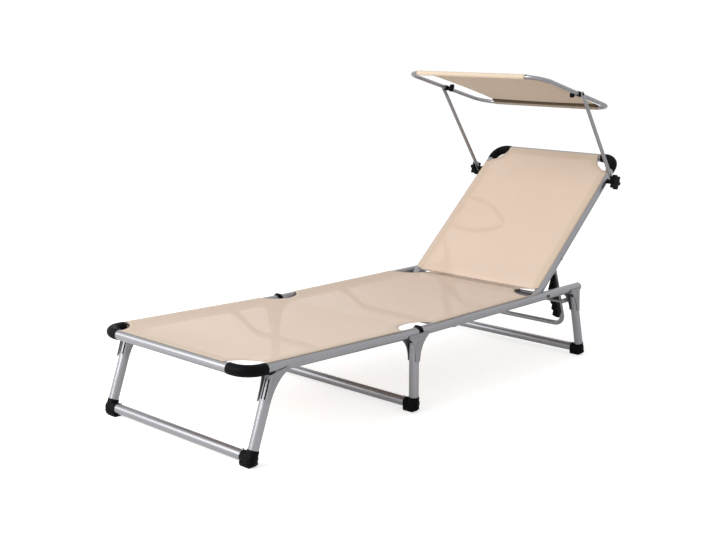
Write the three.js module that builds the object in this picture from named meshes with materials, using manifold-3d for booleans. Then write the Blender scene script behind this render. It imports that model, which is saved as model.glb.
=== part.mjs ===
// Folding sun lounger with three pairs of legs, a reclining backrest and a tilting sun canopy.
// Lengths are in millimetres and angles in degrees. +X is the left-hand side of someone lying
// on it, +Y points from the feet to the head and +Z is up.
import * as THREE from 'three';
import { mergeVertices } from 'three/addons/utils/BufferGeometryUtils.js';
import Module from 'manifold-3d';

const wasm = await Module();
wasm.setup();

// Main aluminium tubes and the clearance between pieces that touch
const tubeDiameter = 28;
const tubeWall = 1.2;
const tubeFacets = 16;
const pinFacets = 8;
const boreFacets = 12;
const fit = 0.3;
const cutOverrun = 5;

// Seat frame and foot section, measured from the fold between them
const railSpacing = 560;
const footSectionLength = 651;
const seatSectionLength = 873.5;
const footEndHeight = 239.8;
const foldHeight = 232.1;
const rearEndHeight = 245.6;
const foldRise = 15;
const foldGap = 10;
const railDome = 5;

// Backrest
const hingeInset = 211.5;
const backrestSpacing = 499;
const backrestLength = 629;
const backrestTail = 16;
const reclineAngle = 41.7;
const axleRadius = 4;
const axleTubeRadius = 6.5;
const pinHead = 2;

// Bent sleeves at the corners
const sleeveWall = 1.1;
const cornerReach = 62;
const cornerBend = 48;
const topCornerReach = 58;
const topCornerBend = 42;
const socketDepth = 15;
const bendSteps = 4;

// Legs
const legPivotDrop = 32;
const legTopRise = 5;
const crossbarHeight = 22.7;
const footLegInset = 78.5;
const midLegInset = 15;
const rearLegInset = 28;
const footLegSplay = -59.5;
const midLegSplay = 9.1;
const rearLegSplay = 61.4;
const legSocketReach = 21;
const barSocketReach = 29;
const elbowWall = 1.4;
const elbowDrop = 15;
const elbowEnd = 9.5;
const padThickness = 13;
const padInset = 1.5;
const padChamfer = 6;
const legSocketEnd = 3;
const barSocketEnd = 17;

// Leg brackets of folded sheet
const sheetGauge = 1.6;
const bracketDepth = 50;
const bracketTopDrop = 7;
const bracketTip = 8;
const footOuter = { feet: [14, 15, 15], head: [4, 6, 48] };
const footInner = { feet: [13, 14.5, 14.5], head: [5, 7, 44] };
const midOuter = { feet: [11, 8.5, 40], head: [8, 10, 49] };
const midInner = { feet: [8.5, 9, 42], head: [9, 9.5, 46] };
const rearOuter = { feet: [9, 7.5, 43], head: [3.5, 12.5, 12.5] };
const rearInner = { feet: [10, 8, 52], head: [6.5, 12, 12] };
const saddleReach = 32;
const rodEarRadius = 8;
const rivetRadius = 4;
const rivetHeadRadius = 6.5;
const rivetHead = 1.5;
const flareSteps = 6;

// Bowed braces under the sling
const braceDiameter = 16;
const braceFacets = 10;
const bracePlace = { foot: -207, seat: 277 };
const braceEndDrop = 8;
const braceDrop = 52;
const braceEndRun = 21;
const braceSlopeRun = 84;
const braceBend = 70;
const braceBendSteps = 3;

// Support bow with its toothed racks, and the rod that the racks hook on
const bowDiameter = 16;
const bowWall = 1.2;
const bowPivot = 160;
const bowGap = 1.4;
const bowLength = 268;
const bowLean = 22.4;
const bowBend = 38;
const bowPinRadius = 3;
const rackTop = 62;
const rackFirstTip = 104;
const rackPitch = 25;
const rackTeeth = 4;
const rackDepth = 46;
const rackToothDepth = 9;
const rackTail = 20;
const rackHeel = 13;
const rackTailShare = 0.6;
const rackGauge = 16;
const restNotch = 1;
const rodDiameter = 10;

// Fold hinges
const knuckleRadius = 4;
const knuckleWidth = 8;
const knuckleLug = 5;
const knucklePinRadius = 1.8;
const knuckleFlange = 8.2;
const knuckleSpigot = 16;

// Slings of stretched mesh
const slingThickness = 1;
const slingRoll = 18;
const slingRollSteps = 1;
const slingSag = 7;
const slingSagRun = 180;
const slingFoldGap = 4;
const slingHingeGap = 8;
const slingCutBeyond = 12;
const footCornerCut = { across: 88, along: 80 };
const foldCut = { across: 60, along: 72 };
const hingeCut = { across: 118, along: 108 };
const backCut = { across: 88, along: 13 };
const topCornerCut = { across: 78, along: 88 };
const slingColumns = 6;
const slingRows = 5;
const cutFacets = 28;

// Carrying strap behind the backrest
const strapWidth = 22;
const strapThickness = 2;
const strapTop = 387;
const strapBottom = 241;
const strapTip = 284;
const strapReach = 205;
const strapBend = 22;

// Canopy arms and their joints
const armSpacing = 566;
const armDiameter = 12.8;
const armLength = 384.2;
const armPivotInset = 107;
const armAngle = 128.66;
const eyeRadius = 8.5;
const eyeThickness = 5;
const eyeFlat = 29;
const boltRadius = 3;
const spacerRadius = 8;
const boltDepth = 7;
const starRadius = 26.5;
const starWaist = 17.5;
const starLobes = 6;
const starThickness = 15.5;
const starSteps = 36;

// Canopy
const canopySlope = -12.2;
const canopyDiameter = 13.4;
const canopyFacets = 10;
const canopyInset = 13.4;
const canopyFront = 240;
const canopyRear = 235;
const canopyBend = 67;
const canopySeam = 40;
const canopySpigot = 15;
const spigotWall = 1.5;
const spigotCollar = 5;
const clipWall = 1.7;
const clipLength = 18.5;
const clipBossRadius = 7.2;
const wingNeck = 9;
const wingNeckRadius = 4.6;
const wingRadius = 14;
const wingWaist = 7.1;
const wingLobes = 2;
const wingThickness = 11;
const wingTurn = 75;
const wingSteps = 16;
const clothThickness = 1;
const clothHalfWidth = 214;
const clothWaist = 204;
const clothSag = 9;
const clothHem = 24;
const clothRows = 8;
const clothWrapSteps = 6;

// Worked out from the sizes above
const tubeRadius = tubeDiameter / 2;
const railX = railSpacing / 2;
const hingeDistance = seatSectionLength - hingeInset;
const armPivot = backrestLength - armPivotInset;
const backX = backrestSpacing / 2;
const armX = armSpacing / 2;
const pivotHeight = foldHeight + foldRise;
const footSlope = -Math.atan2(footEndHeight - foldHeight, footSectionLength);
const seatSlope = Math.atan2(rearEndHeight - foldHeight, seatSectionLength);
const recline = THREE.MathUtils.degToRad(reclineAngle);
const lean = THREE.MathUtils.degToRad(bowLean);
const bowRadius = bowDiameter / 2;
const bowX = backX - tubeRadius - bowGap - bowRadius;
const armRadius = armDiameter / 2;
const canopyRadius = canopyDiameter / 2;
const canopyX = armX - canopyInset;
const sides = [[1, 'left'], [-1, 'right']];

const tubeMetal = new THREE.MeshStandardMaterial({ color: 0xb9b9c0, roughness: 0.34, metalness: 0.85 });
const sheetMetal = new THREE.MeshStandardMaterial({ color: 0xb0b0b6, roughness: 0.42, metalness: 0.8 });
const steelRod = new THREE.MeshStandardMaterial({ color: 0x9c9ca2, roughness: 0.4, metalness: 0.85 });
const blackPlastic = new THREE.MeshStandardMaterial({ color: 0x16181b, roughness: 0.5, metalness: 0 });
const mesh = new THREE.MeshStandardMaterial({ color: 0xe0ccb8, roughness: 0.85, metalness: 0 });
const cloth = new THREE.MeshStandardMaterial({ color: 0xd8c3a9, roughness: 0.9, metalness: 0 });
const webbing = new THREE.MeshStandardMaterial({ color: 0xb79f88, roughness: 0.9, metalness: 0 });

// A centreline of straight runs joined by round bends, with rings only at its ends and bends
class BentLine extends THREE.Curve {
  constructor(corners, bendRadius, steps) {
    super();
    this.stations = [];
    const last = corners.length - 1;
    const heading = (i) => corners[i + 1].clone().sub(corners[i]).normalize();
    this.stations.push({ point: corners[0], tangent: heading(0) });
    for (let i = 1; i < last; i += 1) {
      const into = heading(i - 1);
      const turn = into.angleTo(heading(i));
      const axis = into.clone().cross(heading(i)).normalize();
      const start = corners[i].clone().addScaledVector(into, -bendRadius * Math.tan(turn / 2));
      const centre = start.clone().addScaledVector(axis.clone().cross(into), bendRadius);
      for (let step = 0; step <= steps; step += 1) {
        const angle = turn * step / steps;
        const arm = start.clone().sub(centre).applyAxisAngle(axis, angle);
        const tangent = into.clone().applyAxisAngle(axis, angle);
        this.stations.push({ point: centre.clone().add(arm), tangent });
      }
    }
    this.stations.push({ point: corners[last], tangent: heading(last - 1) });
  }

  get rings() {
    return this.stations.length - 1;
  }

  getUtoTmapping(u) {
    return u;
  }

  getPoint(t, target = new THREE.Vector3()) {
    return target.copy(this.stations[Math.round(t * this.rings)].point);
  }

  getTangent(t, target = new THREE.Vector3()) {
    return target.copy(this.stations[Math.round(t * this.rings)].tangent);
  }
}

// A closed mesh as a solid that can be joined and cut
function solidOf(geometry) {
  const bare = geometry.clone();
  bare.deleteAttribute('normal');
  bare.deleteAttribute('uv');
  const merged = mergeVertices(bare);
  return new wasm.Manifold(new wasm.Mesh({
    numProp: 3,
    vertProperties: new Float32Array(merged.attributes.position.array),
    triVerts: new Uint32Array(merged.index.array),
  }));
}

function geometryOf(solid) {
  const result = solid.getMesh();
  const geometry = new THREE.BufferGeometry();
  geometry.setAttribute('position', new THREE.BufferAttribute(result.vertProperties, 3));
  geometry.setIndex(new THREE.BufferAttribute(result.triVerts, 1));
  geometry.computeVertexNormals();
  return geometry;
}

function join(...geometries) {
  let solid = solidOf(geometries[0]);
  for (const geometry of geometries.slice(1)) {
    solid = solid.add(solidOf(geometry));
  }
  return geometryOf(solid);
}

function cut(geometry, ...tools) {
  let solid = solidOf(geometry);
  for (const tool of tools) {
    solid = solid.subtract(solidOf(tool));
  }
  return geometryOf(solid);
}

function ringShape(outerRadius, innerRadius) {
  const shape = new THREE.Shape();
  shape.absarc(0, 0, outerRadius, 0, 2 * Math.PI, false);
  if (innerRadius > 0) {
    const bore = new THREE.Path();
    bore.absarc(0, 0, innerRadius, 0, 2 * Math.PI, true);
    shape.holes.push(bore);
  }
  return shape;
}

// A straight round tube or bar along +Z; an inner radius of 0 makes it solid
function straight(length, outerRadius, innerRadius = 0, facets = tubeFacets) {
  const shape = ringShape(outerRadius, innerRadius);
  return new THREE.ExtrudeGeometry(shape, { depth: length, bevelEnabled: false, curveSegments: facets / 2 });
}

function barX(fromX, toX, radius, y = 0, z = 0, facets = pinFacets) {
  return straight(toX - fromX, radius, 0, facets).rotateY(Math.PI / 2).translate(fromX, y, z);
}

// A bore along X, with more facets than the pin that turns in it
function boreX(fromX, toX, radius, y = 0, z = 0) {
  return barX(fromX, toX, radius, y, z, boreFacets);
}

function barY(fromY, toY, radius, x = 0, z = 0, facets = tubeFacets) {
  return straight(toY - fromY, radius, 0, facets).rotateX(-Math.PI / 2).translate(x, fromY, z);
}

function tubeX(fromX, toX, y, z) {
  return straight(toX - fromX, tubeRadius, tubeRadius - tubeWall).rotateY(Math.PI / 2).translate(fromX, y, z);
}

function tubeY(fromY, toY, x, z) {
  return straight(toY - fromY, tubeRadius, tubeRadius - tubeWall).rotateX(-Math.PI / 2).translate(x, fromY, z);
}

function bentTube(corners, bendRadius, steps, outerRadius, innerRadius, facets) {
  const path = new BentLine(corners, bendRadius, steps);
  return new THREE.ExtrudeGeometry(ringShape(outerRadius, innerRadius), {
    extrudePath: path,
    steps: path.rings,
    curveSegments: facets / 2,
  });
}

// A plate whose outline is drawn in Y and Z, with its thickness along X
function plate(outline, fromX, gauge, steps = flareSteps) {
  const turned = new THREE.Matrix4().makeBasis(
    new THREE.Vector3(0, 1, 0),
    new THREE.Vector3(0, 0, 1),
    new THREE.Vector3(1, 0, 0),
  );
  const options = { depth: gauge, bevelEnabled: false, curveSegments: steps };
  return new THREE.ExtrudeGeometry(outline, options).applyMatrix4(turned).translate(fromX, 0, 0);
}

function block(fromX, toX, fromY, toY, fromZ, toZ) {
  const geometry = new THREE.BoxGeometry(toX - fromX, toY - fromY, toZ - fromZ);
  return geometry.translate((fromX + toX) / 2, (fromY + toY) / 2, (fromZ + toZ) / 2);
}

function ellipsePrism(x, y, cutSize) {
  const geometry = new THREE.CylinderGeometry(1, 1, 2, cutFacets).rotateX(Math.PI / 2);
  return geometry.scale(cutSize.across, cutSize.along, tubeDiameter).translate(x, y, 0);
}

function add(group, name, geometry, material) {
  const piece = new THREE.Mesh(geometry, material);
  piece.name = name;
  group.add(piece);
  return piece;
}

// Mirrors a left-hand piece's geometry to the right-hand side, with its faces kept outward
function onSide(geometry, side) {
  if (side > 0) {
    return geometry;
  }
  const mirrored = solidOf(geometry).mirror([1, 0, 0]);
  return geometryOf(mirrored);
}

// Turns a point of the Y and Z plane about X
function turned(y, z, angle) {
  return [y * Math.cos(angle) - z * Math.sin(angle), y * Math.sin(angle) + z * Math.cos(angle)];
}

// Bent sleeve over the ends of two tubes that meet at a right angle
function cornerSleeve(x, y, z, direction, reach, bend) {
  const radius = tubeRadius + fit + sleeveWall;
  const corners = [
    new THREE.Vector3(x - reach, y, z),
    new THREE.Vector3(x, y, z),
    new THREE.Vector3(x, y + direction * reach, z),
  ];
  const body = bentTube(corners, bend, bendSteps, radius, 0, tubeFacets);
  const bore = tubeRadius + fit;
  const socketX = barX(x - reach - cutOverrun, x - reach + socketDepth, bore, y, z, tubeFacets);
  const mouth = y + direction * (reach + cutOverrun);
  const end = y + direction * (reach - socketDepth);
  const socketY = barY(Math.min(mouth, end), Math.max(mouth, end), bore, x, z);
  return cut(body, socketX, socketY);
}

// Rail of the seat frame, open at the fold and closed by a dome at the head end
function seatRail() {
  const inner = tubeRadius - tubeWall;
  const length = seatSectionLength - foldGap;
  const profile = [
    new THREE.Vector2(0, length - tubeWall),
    new THREE.Vector2(inner, length - railDome - tubeWall),
    new THREE.Vector2(inner, 0),
    new THREE.Vector2(tubeRadius, 0),
    new THREE.Vector2(tubeRadius, length - railDome),
    new THREE.Vector2(inner, length - tubeWall),
    new THREE.Vector2(0, length),
  ];
  const rail = new THREE.LatheGeometry(profile, tubeFacets).translate(railX, foldGap, -foldRise);
  const bore = boreX(railX - tubeDiameter, railX + tubeDiameter, axleRadius + fit, hingeDistance, -foldRise);
  return cut(rail, bore);
}

// Plug in a rail's end at the fold, with the ear of the hinge: one middle ear or two outer ones
function knuckle(direction, outer) {
  const half = knuckleWidth / 2;
  const start = foldGap - knuckleFlange;
  const near = half + fit;
  const far = near + knuckleLug;
  const spans = outer ? [[near, far], [-far, -near]] : [[-half, half]];
  const clearSpans = outer ? [[-near, near]] : [[half, far + fit], [-far - fit, -half]];
  const flange = barY(start, foldGap - fit, tubeRadius, 0, -foldRise);
  const spigot = barY(start, foldGap + knuckleSpigot, tubeRadius - tubeWall - fit, 0, -foldRise);
  let solid = solidOf(flange).add(solidOf(spigot));
  for (const [from, to] of clearSpans) {
    solid = solid.subtract(solidOf(barX(from, to, knuckleRadius + fit + fit)));
  }
  for (const [from, to] of spans) {
    solid = solid.add(solidOf(barX(from, to, knuckleRadius)));
    solid = solid.add(solidOf(block(from, to, 0, foldGap - fit, -knuckleRadius, 0)));
  }
  const reach = half + knuckleLug + fit;
  if (outer) {
    solid = solid.subtract(solidOf(boreX(-reach - cutOverrun, reach + cutOverrun, knucklePinRadius + fit)));
  } else {
    solid = solid.add(solidOf(barX(-reach, reach, knucklePinRadius)));
  }
  return direction > 0 ? geometryOf(solid) : geometryOf(solid.mirror([0, 1, 0]));
}

// Where a leg hangs and stands: its pivot in the section's frame, its lean and its length
function legPlace(slope, y, splay) {
  const z = -foldRise - legPivotDrop;
  const [, worldZ] = turned(y, z, slope);
  const drop = pivotHeight + worldZ - crossbarHeight;
  return { y, z, lean: Math.atan2(splay, drop), slope, length: Math.hypot(splay, drop) };
}

const legPlaces = {
  foot: legPlace(footSlope, footLegInset - footSectionLength, footLegSplay),
  mid: legPlace(seatSlope, -midLegInset, midLegSplay),
  rear: legPlace(seatSlope, seatSectionLength - rearLegInset, rearLegSplay),
};

// Sole of a foot, its ends and sides cut off slantwise at the ground
function footPad(half) {
  const top = padThickness - crossbarHeight;
  const slant = -crossbarHeight + padChamfer;
  const inner = half - padChamfer / 2;
  const ground = -crossbarHeight;
  const points = [[-half, top], [-half, slant], [-inner, ground], [inner, ground], [half, slant], [half, top]];
  const outline = new THREE.Shape(points.map(([y, z]) => new THREE.Vector2(y, z)));
  const end = padChamfer * Math.SQRT2;
  const chamfer = block(-end, end, -cutOverrun - half, half + cutOverrun, -end, end).rotateY(Math.PI / 4);
  const sole = plate(outline, -barSocketReach, barSocketReach + elbowEnd);
  return cut(sole, chamfer.translate(elbowEnd + padChamfer / 2, 0, ground - padChamfer / 2));
}

// Foot of black plastic that joins a leg tube to its crossbar and stands flat on the ground
function elbow(place) {
  const bore = tubeRadius + fit;
  const radius = bore + elbowWall;
  const legSleeve = straight(legSocketReach + elbowDrop, radius).translate(0, 0, -elbowDrop);
  const barSleeve = barX(-barSocketReach, elbowEnd, radius, 0, 0, tubeFacets);
  const body = join(legSleeve, barSleeve, footPad(radius - padInset).rotateX(-place.lean));
  const legSocket = straight(legSocketReach + cutOverrun, bore).translate(0, 0, legSocketEnd - fit);
  const barSocket = barX(-barSocketReach - cutOverrun, fit - barSocketEnd, bore, 0, 0, tubeFacets);
  return cut(body, legSocket, barSocket).translate(railX, 0, -place.length);
}

function legTube(place) {
  const length = place.length - legSocketEnd + legTopRise;
  const tube = straight(length, tubeRadius, tubeRadius - tubeWall).translate(railX, 0, legTopRise - length);
  return cut(tube, boreX(railX - tubeDiameter, railX + tubeDiameter, rivetRadius + fit));
}

function addLeg(section, name, place) {
  const leg = new THREE.Group();
  leg.position.set(0, place.y, place.z);
  leg.rotation.x = place.lean - place.slope;
  section.add(leg);
  for (const [side, sideName] of sides) {
    add(leg, `${name}_leg_${sideName}`, onSide(legTube(place), side), tubeMetal);
    add(leg, `${name}_foot_${sideName}`, onSide(elbow(place), side), blackPlastic);
  }
  const barEnd = railX - barSocketEnd;
  add(leg, `${name}_crossbar`, tubeX(-barEnd, barEnd, 0, -place.length), tubeMetal);
  return leg;
}

// Outline of a bracket's cheek round the leg's pivot. Each side gives its reach from the leg's
// centreline at the foot and by the pivot, and then at the tip of its flare.
function cheekOutline(place, sideways, feetTop, headTop) {
  const footing = bracketDepth * Math.tan(place.lean - place.slope);
  const [feetFoot, feetBelly, feetTip] = sideways.feet;
  const [headFoot, headBelly, headTip] = sideways.head;
  const outline = new THREE.Shape();
  outline.moveTo(footing - feetFoot, -bracketDepth);
  outline.lineTo(footing + headFoot, -bracketDepth);
  outline.quadraticCurveTo(headBelly, 0, headTip, headTop - bracketTip);
  outline.lineTo(headTip, headTop);
  outline.lineTo(-feetTip, feetTop);
  outline.lineTo(-feetTip, feetTop - bracketTip);
  outline.quadraticCurveTo(-feetBelly, 0, footing - feetFoot, -bracketDepth);
  return outline;
}

// Folded sheet that carries a leg: two cheeks, a saddle under the rail and the pivot rivet
function bracket(place, outerSides, innerSides, feetTop, saddle) {
  const reach = tubeRadius + fit;
  const outerX = railX + reach;
  const innerX = railX - reach - sheetGauge;
  const saddleTop = legPivotDrop - reach;
  const innerTop = legPivotDrop - bracketTopDrop;
  return join(
    plate(cheekOutline(place, outerSides, feetTop, legPivotDrop), outerX, sheetGauge),
    plate(cheekOutline(place, innerSides, innerTop, innerTop), innerX, sheetGauge),
    block(innerX, outerX + sheetGauge, saddle[0], saddle[1], saddleTop - sheetGauge, saddleTop),
    barX(innerX - rivetHead, outerX + sheetGauge + rivetHead, rivetRadius),
    barX(innerX - rivetHead, innerX, rivetHeadRadius),
    barX(outerX + sheetGauge, outerX + sheetGauge + rivetHead, rivetHeadRadius),
  );
}

function addBrackets(section, name, place, shape) {
  for (const [side, sideName] of sides) {
    const geometry = shape(place).translate(0, place.y, place.z);
    add(section, `${name}_bracket_${sideName}`, onSide(geometry, side), sheetMetal);
  }
}

// Bowed cross tube that ties the rails together below the sling
function brace(y) {
  const end = railX - tubeRadius - fit;
  const shoulder = end - braceEndRun;
  const foot = shoulder - braceSlopeRun;
  const high = -foldRise - braceEndDrop;
  const low = -foldRise - braceDrop;
  const points = [[-end, high], [-shoulder, high], [-foot, low], [foot, low], [shoulder, high], [end, high]];
  const corners = points.map(([x, z]) => new THREE.Vector3(x, y, z));
  const radius = braceDiameter / 2;
  return bentTube(corners, braceBend, braceBendSteps, radius, radius - tubeWall, braceFacets);
}

// A thin closed sheet from a grid of places on its lower and upper faces
function sheet(columns, rows, place) {
  const points = [];
  const faces = [];
  const index = (layer, i, j) => (layer * rows.length + j) * columns.length + i;
  const quad = (a, b, c, d) => faces.push(a, b, c, a, c, d);
  for (const layer of [0, 1]) {
    for (const row of rows) {
      for (const column of columns) {
        points.push(...place(column, row, layer));
      }
    }
  }
  const lastI = columns.length - 1;
  const lastJ = rows.length - 1;
  for (let j = 0; j < lastJ; j += 1) {
    for (let i = 0; i < lastI; i += 1) {
      quad(index(1, i, j), index(1, i + 1, j), index(1, i + 1, j + 1), index(1, i, j + 1));
      quad(index(0, i, j), index(0, i, j + 1), index(0, i + 1, j + 1), index(0, i + 1, j));
    }
    quad(index(0, 0, j), index(1, 0, j), index(1, 0, j + 1), index(0, 0, j + 1));
    quad(index(0, lastI, j), index(0, lastI, j + 1), index(1, lastI, j + 1), index(1, lastI, j));
  }
  for (let i = 0; i < lastI; i += 1) {
    quad(index(0, i, 0), index(0, i + 1, 0), index(1, i + 1, 0), index(1, i, 0));
    quad(index(0, i, lastJ), index(1, i, lastJ), index(1, i + 1, lastJ), index(0, i + 1, lastJ));
  }
  const geometry = new THREE.BufferGeometry();
  geometry.setAttribute('position', new THREE.Float32BufferAttribute(points, 3));
  geometry.setIndex(faces);
  return geometry;
}

// Stations from one edge to another: each is a place and how far the sheet has rolled over a tube
function stations(from, to, count, rollFrom, rollTo) {
  const result = [];
  const roll = THREE.MathUtils.degToRad(slingRoll);
  for (let step = slingRollSteps; rollFrom && step > 0; step -= 1) {
    result.push({ at: from, roll: -roll * step / slingRollSteps });
  }
  for (let step = 0; step <= count; step += 1) {
    result.push({ at: from + (to - from) * step / count, roll: 0 });
  }
  for (let step = 1; rollTo && step <= slingRollSteps; step += 1) {
    result.push({ at: to, roll: roll * step / slingRollSteps });
  }
  return result;
}

// Sling stretched between two rails, rolled over them and over the end tube, and sagging a little
function sling(halfSpan, from, to, rollFrom, rollTo, railZ, cuts) {
  const columns = stations(-halfSpan, halfSpan, slingColumns, true, true);
  const rows = stations(from, to, slingRows, rollFrom, rollTo);
  const place = (column, row, layer) => {
    const radius = tubeRadius + fit + layer * slingThickness;
    const x = column.at + radius * Math.sin(column.roll);
    const y = row.at + radius * Math.sin(row.roll);
    const fromEnd = Math.min(rollFrom ? row.at - from : slingSagRun, rollTo ? to - row.at : slingSagRun);
    const ramp = Math.sin(Math.PI / 2 * Math.min(1, fromEnd / slingSagRun));
    const bow = 1 - (column.at / halfSpan) ** 2;
    const z = railZ + radius * (Math.cos(column.roll) + Math.cos(row.roll) - 1) - slingSag * ramp * bow;
    return [x, y, z];
  };
  const tools = [];
  for (const { y, size } of cuts) {
    const x = halfSpan + slingCutBeyond;
    tools.push(ellipsePrism(x, y, size), ellipsePrism(-x, y, size));
  }
  return cut(sheet(columns, rows, place), ...tools);
}

// Axle of the backrest: a tube between its rails, on a rod that runs through all four rails
function backrestAxle() {
  const inner = backX - tubeRadius - fit;
  const outer = railX + tubeRadius + fit;
  const head = outer + pinHead;
  return join(
    barX(-head, head, axleRadius),
    barX(-inner, inner, axleTubeRadius, 0, 0, boreFacets),
    barX(-head, -outer, axleRadius + pinHead),
    barX(outer, head, axleRadius + pinHead),
  ).translate(0, hingeDistance, -foldRise);
}

function backrestRail() {
  const tube = tubeY(-backrestTail, backrestLength - topCornerReach + socketDepth - fit, backX, 0);
  const reach = tubeDiameter;
  return cut(
    tube,
    boreX(backX - reach, backX + reach, axleRadius + fit),
    boreX(backX - reach, backX + reach, bowPinRadius + fit, bowPivot),
    boreX(backX, backX + reach, boltRadius + fit, armPivot),
  );
}

// U-shaped support of the backrest, with a pivot pin through each backrest rail
function supportBow() {
  const corners = [[-bowX, 0], [-bowX, -bowLength], [bowX, -bowLength], [bowX, 0]];
  const path = corners.map(([x, z]) => new THREE.Vector3(x, 0, z));
  const bow = bentTube(path, bowBend, bendSteps, bowRadius, bowRadius - bowWall, braceFacets);
  const pinEnd = backX + tubeRadius + fit;
  const head = pinEnd + pinHead;
  return join(
    bow,
    barX(-bowX - bowRadius, -bowX + bowRadius, bowPinRadius + bowWall, 0, -bowPinRadius - bowWall),
    barX(bowX - bowRadius, bowX + bowRadius, bowPinRadius + bowWall, 0, -bowPinRadius - bowWall),
    barX(-head, -bowX, bowPinRadius),
    barX(bowX, head, bowPinRadius),
    barX(-head, -pinEnd, bowPinRadius + pinHead),
    barX(pinEnd, head, bowPinRadius + pinHead),
  );
}

// Toothed rack on the bow's leg: it tapers out to its first tooth, and its notches hook on the rod
function rack() {
  const back = -bowRadius - fit;
  const outline = new THREE.Shape();
  outline.moveTo(back, -rackTop);
  outline.lineTo(-rackDepth, -rackFirstTip);
  for (let tooth = 0; tooth < rackTeeth; tooth += 1) {
    const tip = rackFirstTip + tooth * rackPitch;
    outline.lineTo(rackToothDepth - rackDepth, -tip - rackPitch / 2);
    outline.lineTo(-rackDepth, -tip - rackPitch);
  }
  const end = rackFirstTip + rackTeeth * rackPitch + rackTail;
  outline.lineTo(-rackDepth * rackTailShare, -end);
  outline.lineTo(back, -end + rackHeel);
  outline.closePath();
  return plate(outline, bowX - rackGauge / 2, rackGauge);
}

// Centre of the rod in the support bow's frame, resting in the notch that holds the backrest
function rodInBow() {
  const rodOffset = rackDepth - rackToothDepth + (rodDiameter / 2 + fit) * Math.SQRT2;
  return [-rodOffset, -rackFirstTip - (restNotch + 1 / 2) * rackPitch];
}

// The same centre in the seat frame's own frame
function rodInSeat() {
  const [alongY, alongZ] = turned(bowPivot, 0, recline - seatSlope);
  const [notchY, notchZ] = turned(...rodInBow(), lean - seatSlope);
  return [hingeDistance + alongY + notchY, -foldRise + alongZ + notchZ];
}

// Carrying strap: a loop of webbing behind the mesh, with both ends on the right-hand rail
function carryStrap() {
  const half = strapWidth / 2;
  const z = -tubeRadius - fit - strapThickness / 2;
  const corners = [
    new THREE.Vector3(-backX, strapTop, z),
    new THREE.Vector3(strapReach - backX, strapTip, z),
    new THREE.Vector3(-backX, strapBottom, z),
  ];
  const path = new BentLine(corners, strapBend, bendSteps);
  const section = new THREE.Shape();
  section.moveTo(-strapThickness / 2, -half);
  section.lineTo(strapThickness / 2, -half);
  section.lineTo(strapThickness / 2, half);
  section.lineTo(-strapThickness / 2, half);
  section.closePath();
  return new THREE.ExtrudeGeometry(section, { extrudePath: path, steps: path.rings });
}

// Thin canopy arm with a flat eye at each end, along +Y from its lower eye
function canopyArm() {
  const fromX = armX - eyeThickness / 2;
  const toX = armX + eyeThickness / 2;
  const tube = straight(armLength - eyeRadius, armRadius, 0, braceFacets).rotateX(-Math.PI / 2);
  const body = join(
    tube.translate(armX, eyeRadius / 2, 0),
    barX(fromX, toX, eyeRadius),
    barX(fromX, toX, eyeRadius, armLength),
    block(fromX, toX, 0, eyeFlat, -eyeRadius, eyeRadius),
    block(fromX, toX, armLength - eyeFlat, armLength, -eyeRadius, eyeRadius),
  );
  const side = tubeDiameter;
  const flats = [[-eyeRadius, eyeFlat], [armLength - eyeFlat, armLength + eyeRadius]].flatMap(([from, to]) => [
    block(toX, toX + side, from, to, -side, side),
    block(fromX - side, fromX, from, to, -side, side),
  ]);
  const bores = [0, armLength].map((y) => boreX(armX - side, armX + side, boltRadius + fit, y));
  return cut(body, ...flats, ...bores);
}

// Knob outline of round lobes
function lobeOutline(outer, waist, lobes, steps) {
  const outline = new THREE.Shape();
  const middle = (outer + waist) / 2;
  const swing = (outer - waist) / 2;
  for (let step = 0; step < steps; step += 1) {
    const angle = 2 * Math.PI * step / steps;
    const radius = middle + swing * Math.cos(lobes * angle);
    const y = radius * Math.cos(angle);
    const z = radius * Math.sin(angle);
    if (step === 0) {
      outline.moveTo(y, z);
    } else {
      outline.lineTo(y, z);
    }
  }
  outline.closePath();
  return outline;
}

// Star knob outside the arm, with its bolt and the spacer between the arm and the backrest rail
function starKnob() {
  const rail = backX + tubeRadius;
  const armInner = armX - eyeThickness / 2 - fit;
  const armOuter = armX + eyeThickness / 2 + fit;
  return join(
    plate(lobeOutline(starRadius, starWaist, starLobes, starSteps), armOuter, starThickness),
    barX(rail - boltDepth, armOuter + sheetGauge, boltRadius),
    barX(rail + fit, armInner, spacerRadius),
  );
}

// Half of the canopy's frame: a U from the seam on one side tube to the seam on the other
function canopyHalf(endY, direction) {
  const start = canopySeam + direction * fit / 2;
  const corners = [[canopyX, start], [canopyX, endY], [-canopyX, endY], [-canopyX, start]];
  const path = corners.map(([x, y]) => new THREE.Vector3(x, y, 0));
  return bentTube(path, canopyBend, bendSteps, canopyRadius, canopyRadius - tubeWall, canopyFacets);
}

// The front half has the holes of the bolts that it tilts on
function canopyFrontHalf() {
  const reach = canopyX + canopyDiameter;
  return cut(canopyHalf(-canopyFront, -1), boreX(-reach, reach, boltRadius + fit));
}

function canopyRearHalf() {
  const bore = canopyRadius - tubeWall;
  const radius = bore * Math.cos(Math.PI / canopyFacets) - fit;
  const inner = radius - spigotWall;
  const pieces = [-canopyX, canopyX].flatMap((x) => [
    straight(2 * canopySpigot, radius, inner, canopyFacets).rotateX(-Math.PI / 2)
      .translate(x, canopySeam - canopySpigot, 0),
    straight(spigotCollar, bore + tubeWall / 2, inner, canopyFacets).rotateX(-Math.PI / 2)
      .translate(x, canopySeam + fit, 0),
  ]);
  return join(canopyHalf(canopyRear, 1), ...pieces);
}

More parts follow.
